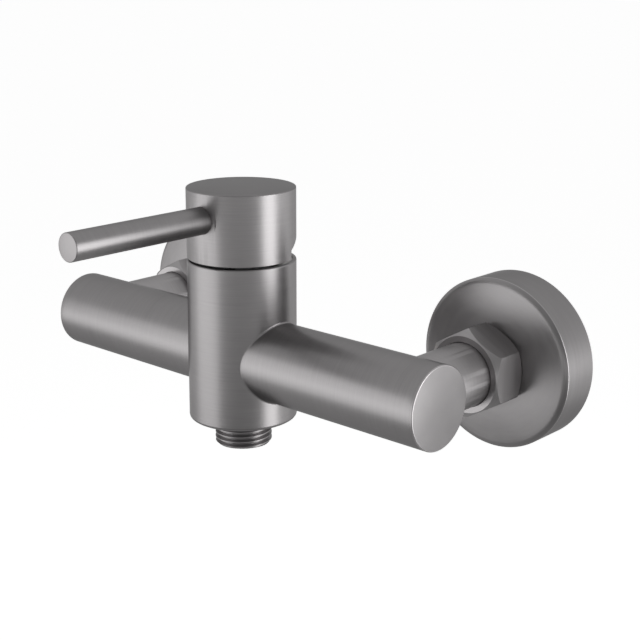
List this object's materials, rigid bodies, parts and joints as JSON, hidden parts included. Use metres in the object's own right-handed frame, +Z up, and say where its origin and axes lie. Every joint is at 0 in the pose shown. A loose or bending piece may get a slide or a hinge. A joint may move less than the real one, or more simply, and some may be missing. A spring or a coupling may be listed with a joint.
{
  "type": "shower mixer",
  "caption": "Wall-mounted single-lever shower mixer: upright round body, round arms, pin lever on a tilting cap, union nuts, deep round escutcheons and a hose outlet.",
  "frame": {"origin": "on the finished wall, midway between the two wall inlets", "axes": "+Y into the wall, +Z up, +X from the left inlet to the right one as seen by the user"},
  "size_m": [0.2116, 0.1575, 0.0952],
  "materials": {
    "body_metal": "brushed gun-metal",
    "cap_metal": "brushed gun-metal",
    "lever_metal": "brushed gun-metal",
    "nut_metal": "satin gun-metal",
    "plate_metal": "brushed gun-metal",
    "outlet_metal": "satin gun-metal",
    "raw_brass": "machined",
    "black_rubber": "matt",
    "bare_steel": "bright",
    "white_plastic": "moulded",
    "grey_plastic": "moulded",
    "blue_plastic": "moulded",
    "plated_brass": "dull nickel plate",
    "ceramic": "lapped ceramic",
    "dark_steel": "blackened"
  },
  "bodies": {
    "fixture": {"body_casting": "body_metal", "end_cap_left": "cap_metal", "end_cap_right": "cap_metal", "inlet_nipple_left": "raw_brass", "inlet_nipple_right": "raw_brass", "union_washer_left": "black_rubber", "union_washer_right": "black_rubber", "strainer_left": "bare_steel", "strainer_right": "bare_steel", "wall_union_left": "raw_brass", "wall_union_right": "raw_brass", "escutcheon_left": "plate_metal", "escutcheon_right": "plate_metal", "hose_outlet": "outlet_metal", "outlet_o_ring": "black_rubber", "valve_housing": "white_plastic", "valve_spring": "bare_steel", "cartridge_housing": "white_plastic", "cartridge_base": "white_plastic", "seal_hot": "black_rubber", "seal_cold": "black_rubber", "seal_mixed": "black_rubber", "fixed_disc": "ceramic", "hot_limit_ring": "grey_plastic", "clamp_nut": "plated_brass"},
    "nut_left": {"union_nut_left": "nut_metal"},
    "nut_right": {"union_nut_right": "nut_metal"},
    "rotor_body": {"rotor": "blue_plastic", "stem_pin": "bare_steel"},
    "disc_carrier": {"moving_disc": "ceramic", "drive_plate": "grey_plastic"},
    "handle": {"stem": "bare_steel", "handle_cap": "cap_metal", "lever_pin": "lever_metal", "grub_screw": "dark_steel"},
    "check_poppet": {"valve_poppet": "white_plastic"}
  },
  "joints": [
    {"name": "lever_swing", "type": "hinge", "parent": "fixture", "child": "rotor_body", "pos_m": [0, -0.067, 0.0305], "axis": [0, 0, 1], "range_deg": [-45, 45]},
    {"name": "lever_lift", "type": "hinge", "parent": "rotor_body", "child": "handle", "pos_m": [0, -0.067, 0.0305], "axis": [-1, 0, 0], "range_deg": [0, 15]},
    {"name": "disc_slide", "type": "slide", "parent": "rotor_body", "child": "disc_carrier", "axis": [0, -1, 0], "range_m": [0, 0.0017]},
    {"name": "left_nut_turn", "type": "hinge", "parent": "fixture", "child": "nut_left", "pos_m": [-0.075, -0.0265, 0.0075], "axis": [0, 1, 0], "continuous": true},
    {"name": "right_nut_turn", "type": "hinge", "parent": "fixture", "child": "nut_right", "pos_m": [0.075, -0.0265, 0.0075], "axis": [0, 1, 0], "continuous": true},
    {"name": "check_valve_travel", "type": "slide", "parent": "fixture", "child": "check_poppet", "axis": [0, 0, -1], "range_m": [0, 0.002], "stiffness_N_per_m": 100, "springref_m": -0.002, "deforming": ["valve_spring"]}
  ],
  "couplings": [
    {"joint": "disc_slide", "follows": "lever_lift", "m_per_rad": 0.0064}
  ]
}
